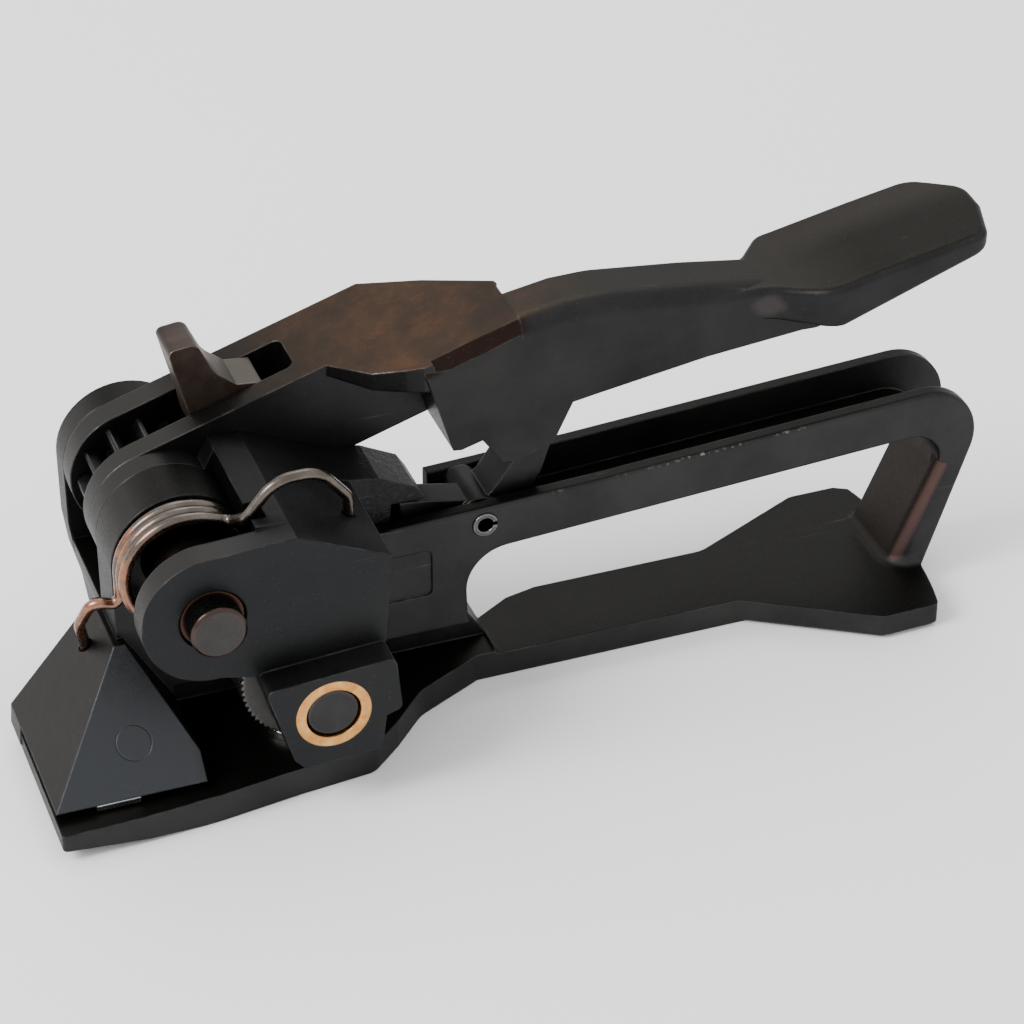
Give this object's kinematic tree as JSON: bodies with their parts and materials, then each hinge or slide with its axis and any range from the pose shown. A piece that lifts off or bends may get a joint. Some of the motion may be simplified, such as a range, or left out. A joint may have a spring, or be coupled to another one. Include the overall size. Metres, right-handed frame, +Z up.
{
  "type": "strapping tensioner",
  "caption": "Hand strapping tensioner: an iron base with a hand bar, a sprung feedwheel arm, a two-gear drive and a forked lever handle with a thumb pawl.",
  "frame": {"origin": "on the sole, under the middle of the feedwheel's rim", "axes": "+X towards the rear pad, along the hand bar; +Y from the strap's entry side to the gear side; +Z up"},
  "size_m": [0.2356, 0.0878, 0.1018],
  "materials": {
    "black_iron": "satin black oxide",
    "black_steel": "satin black oxide",
    "worn_steel": "worn satin",
    "bright_steel": "ground",
    "spring_steel": "bright wire",
    "bronze": "bare bronze"
  },
  "bodies": {
    "frame": {"frame_casting": "black_iron", "strap_guide_insert": "bright_steel", "guide_dowel": "worn_steel", "anvil_plug": "bright_steel", "main_shaft": "bright_steel", "shaft_ring_near": "worn_steel", "shaft_ring_far": "worn_steel", "spring_sleeve": "black_steel", "release_lever_pin": "worn_steel"},
    "arm": {"feedwheel_arm": "black_iron", "arm_spring": "spring_steel", "front_bushing": "bronze", "rear_bushing": "bronze", "holding_pawl_pin": "worn_steel"},
    "feed": {"feedwheel_shaft": "worn_steel", "feedwheel": "black_steel", "feedwheel_key": "worn_steel", "gear_key": "worn_steel", "driven_gear": "black_steel", "gear_retaining_ring": "worn_steel"},
    "pinion": {"drive_gear": "black_steel"},
    "hold": {"holding_pawl": "black_steel"},
    "lever": {"release_lever": "black_steel"},
    "grip": {"handle": "black_steel", "handle_bushing_near": "bronze", "handle_bushing_far": "bronze", "pawl_pin": "worn_steel"},
    "thumb": {"pawl": "worn_steel"}
  },
  "joints": [
    {"name": "handle_swing", "type": "hinge", "parent": "frame", "child": "grip", "pos_m": [-0.0242, 0, 0.05315], "axis": [0, -1, 0], "range_deg": [0, 90]},
    {"name": "pawl_tilt", "type": "hinge", "parent": "grip", "child": "thumb", "pos_m": [-0.004, 0.04, 0.071], "axis": [0, -1, 0], "range_deg": [-13, 8], "stiffness_Nm_per_rad": 0.05},
    {"name": "arm_lift", "type": "hinge", "parent": "frame", "child": "arm", "pos_m": [-0.0242, 0, 0.05315], "axis": [0, -1, 0], "range_deg": [0, 6.5], "stiffness_Nm_per_rad": 3, "springref_deg": -28.65, "deforming": ["arm_spring"]},
    {"name": "feedwheel_spin", "type": "hinge", "parent": "arm", "child": "feed", "pos_m": [0, 0, 0.0265], "axis": [0, -1, 0], "continuous": true},
    {"name": "drive_gear_spin", "type": "hinge", "parent": "arm", "child": "pinion", "pos_m": [-0.0242, 0.04, 0.05315], "axis": [0, -1, 0], "continuous": true},
    {"name": "release_lever_turn", "type": "hinge", "parent": "frame", "child": "lever", "pos_m": [0.0476, 0.02, 0.0442], "axis": [0, -1, 0], "range_deg": [-19, 0]},
    {"name": "holding_pawl_tilt", "type": "hinge", "parent": "arm", "child": "hold", "pos_m": [0.031, 0.04, 0.0375], "axis": [0, -1, 0], "range_deg": [-6, 10.5], "stiffness_Nm_per_rad": 0.05}
  ],
  "couplings": [
    {"joint": "drive_gear_spin", "follows": "feedwheel_spin", "ratio": -2},
    {"joint": "release_lever_turn", "follows": "arm_lift", "ratio": -2.9}
  ]
}
